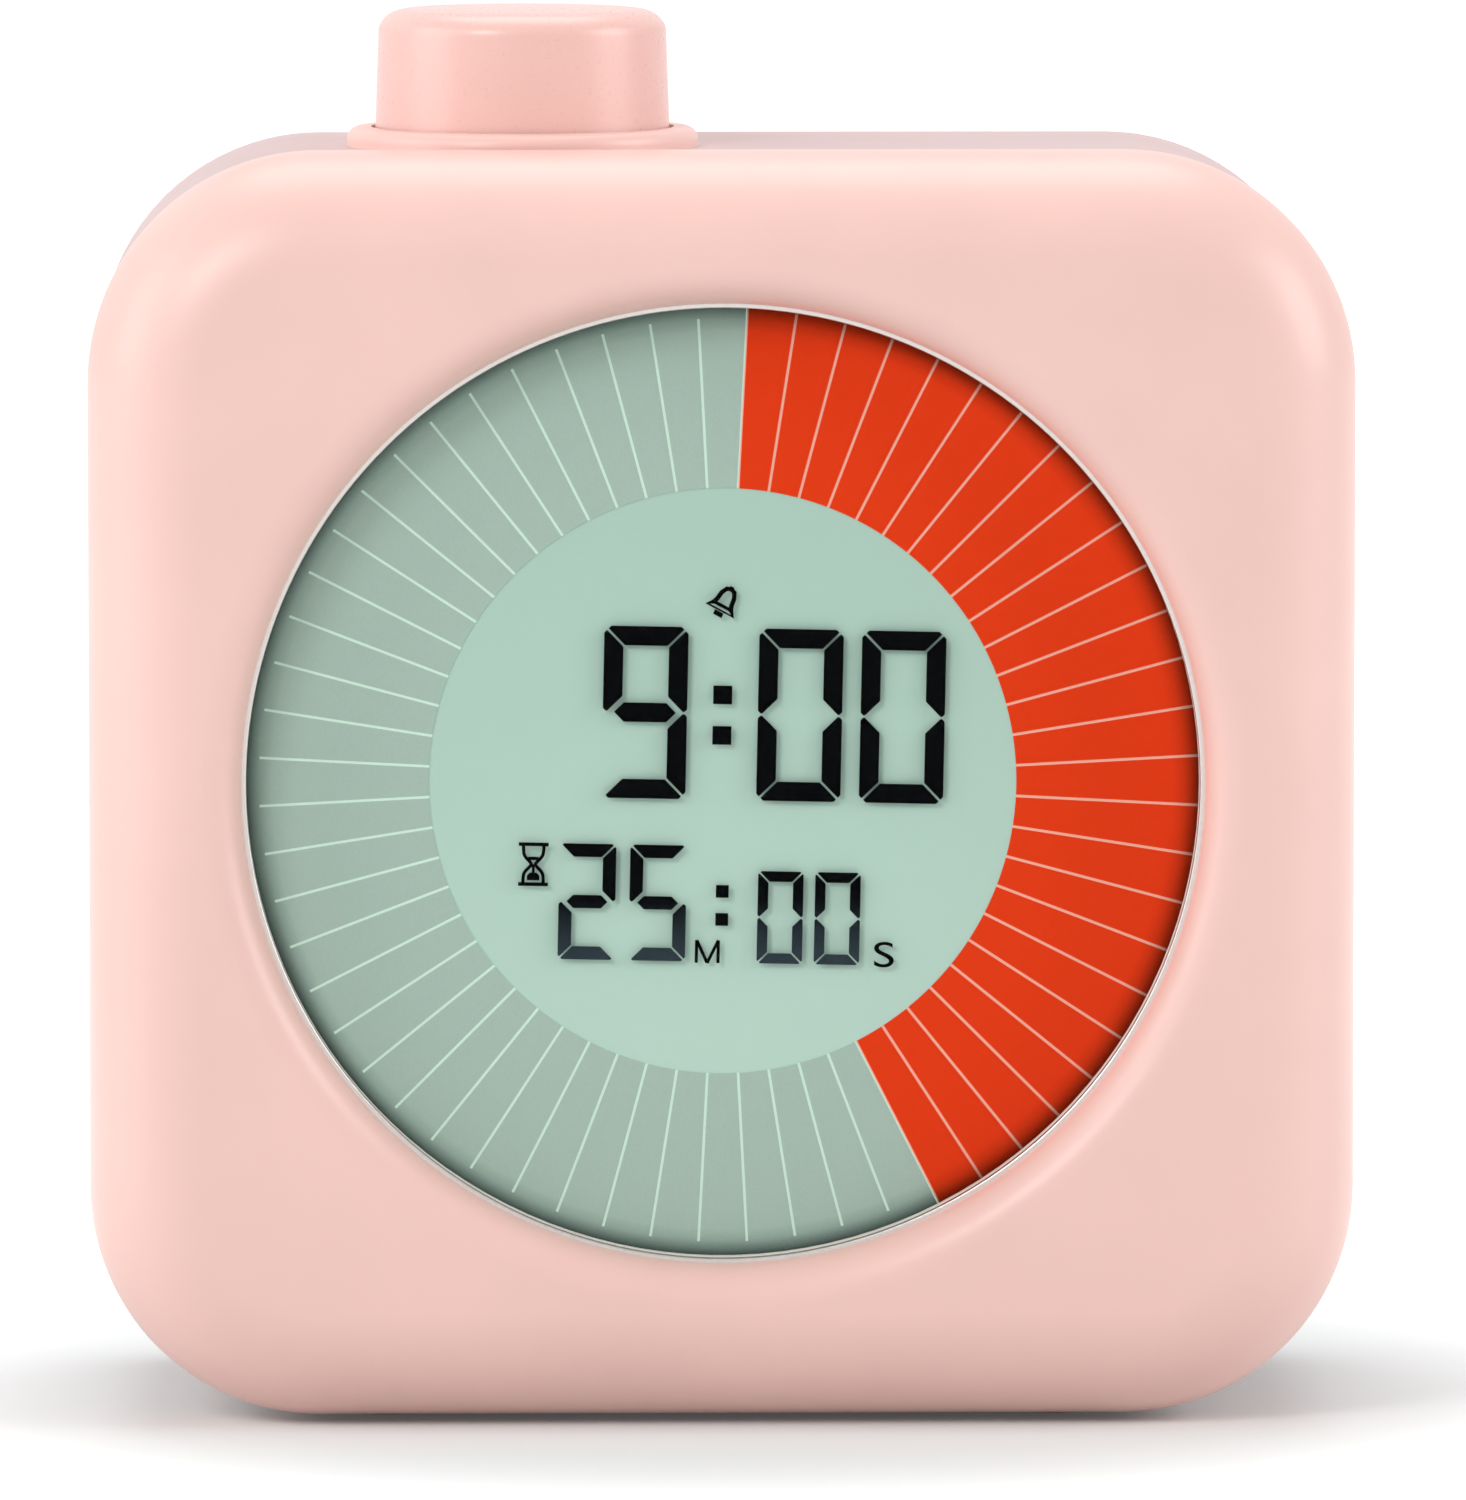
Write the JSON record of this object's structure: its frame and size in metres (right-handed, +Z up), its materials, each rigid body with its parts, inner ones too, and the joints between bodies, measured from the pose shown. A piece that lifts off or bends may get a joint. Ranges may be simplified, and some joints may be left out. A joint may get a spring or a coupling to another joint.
{
  "type": "visual countdown timer",
  "caption": "Squarish rounded desk timer with a large round coloured segment display, a turning and pressing knob on top, and a battery door, buttons and speaker at the back.",
  "frame": {"origin": "on the ground under the middle of the timer, with the feet's undersides at Z = 0", "axes": "+X to the right seen from the front, -Y out of the display, +Z up along the knob's axis"},
  "size_m": [0.09, 0.05, 0.1005],
  "materials": {
    "front_shell": "soft pink moulded plastic, fine satin grain",
    "rear_shell": "dusty pink moulded plastic, fine satin grain",
    "knob": "soft pink moulded plastic, satin",
    "trim": "bright satin plated ring",
    "lens": "clear flat acrylic",
    "lcd_glass": "pale green display glass with printed segments",
    "film": "printed colour film",
    "light_guide": "milky clear moulding",
    "white_plastic": "white moulded plastic",
    "black_plastic": "black moulded plastic",
    "board": "green solder mask on glass fibre board",
    "elastomer": "layered contact rubber",
    "lamp": "small white lamp with a clear front",
    "screw_steel": "zinc plated steel",
    "contact_metal": "nickel plated spring steel",
    "brass_nut": "plated brass",
    "shaft_metal": "turned light metal",
    "die_cast": "die cast metal",
    "cell": "painted metal can with a bare plus end",
    "cone": "dark thin sound cone",
    "foam": "soft black foam",
    "rear_button": "off-white moulded plastic",
    "foot_rubber": "soft pale rubber"
  },
  "bodies": {
    "root": {"front_shell": "front_shell", "rear_shell": "rear_shell", "lens_trim": "trim", "lens": "lens", "lcd_panel": "lcd_glass", "colour_film": "film", "light_guide": "light_guide", "backlight_lamps": "lamp", "lcd_holder": "white_plastic", "contact_strips": "elastomer", "main_board": "board", "controller_chip": "black_plastic", "board_screws": "screw_steel", "knob_collar": "front_shell", "encoder_bushing": "die_cast", "encoder_body": "black_plastic", "encoder_washer": "screw_steel", "encoder_nut": "brass_nut", "encoder_board": "board", "speaker_gasket": "foam", "speaker_frame": "contact_metal", "speaker_cone": "cone", "battery_cells": "cell", "battery_plates": "contact_metal", "battery_springs": "contact_metal", "button_switches": "black_plastic", "volume_switch": "contact_metal", "rear_board": "board", "rear_board_screws": "screw_steel", "housing_screws": "screw_steel", "feet": "foot_rubber"},
    "knob_press_carrier": {"encoder_plunger": "white_plastic"},
    "knob": {"knob": "knob", "encoder_shaft": "shaft_metal"},
    "mode_button": {"mode_button": "rear_button", "mode_switch_stem": "black_plastic"},
    "set_button": {"set_button": "rear_button", "set_switch_stem": "black_plastic"},
    "volume_slider": {"volume_slider": "rear_button"},
    "battery_door": {"battery_door": "rear_shell"}
  },
  "joints": [
    {"name": "knob_press", "type": "slide", "parent": "root", "child": "knob_press_carrier", "axis": [0, 0, -1], "range_m": [0, 0.0005], "stiffness_N_per_m": 3000, "springref_m": -0.0003},
    {"name": "knob_turn", "type": "hinge", "parent": "knob_press_carrier", "child": "knob", "pos_m": [-0.014, -0.0015, 0.09], "axis": [0, 0, -1], "continuous": true},
    {"name": "mode_press", "type": "slide", "parent": "root", "child": "mode_button", "axis": [0, -1, 0], "range_m": [0, 0.0006], "stiffness_N_per_m": 2000, "springref_m": -0.0003},
    {"name": "set_press", "type": "slide", "parent": "root", "child": "set_button", "axis": [0, -1, 0], "range_m": [0, 0.0006], "stiffness_N_per_m": 2000, "springref_m": -0.0003},
    {"name": "volume_slide", "type": "slide", "parent": "root", "child": "volume_slider", "axis": [1, 0, 0], "range_m": [0, 0.004]},
    {"name": "battery_door_swing", "type": "hinge", "parent": "root", "child": "battery_door", "pos_m": [0, 0.0244, 0.0103], "axis": [-1, 0, 0], "range_deg": [0, 75]}
  ]
}
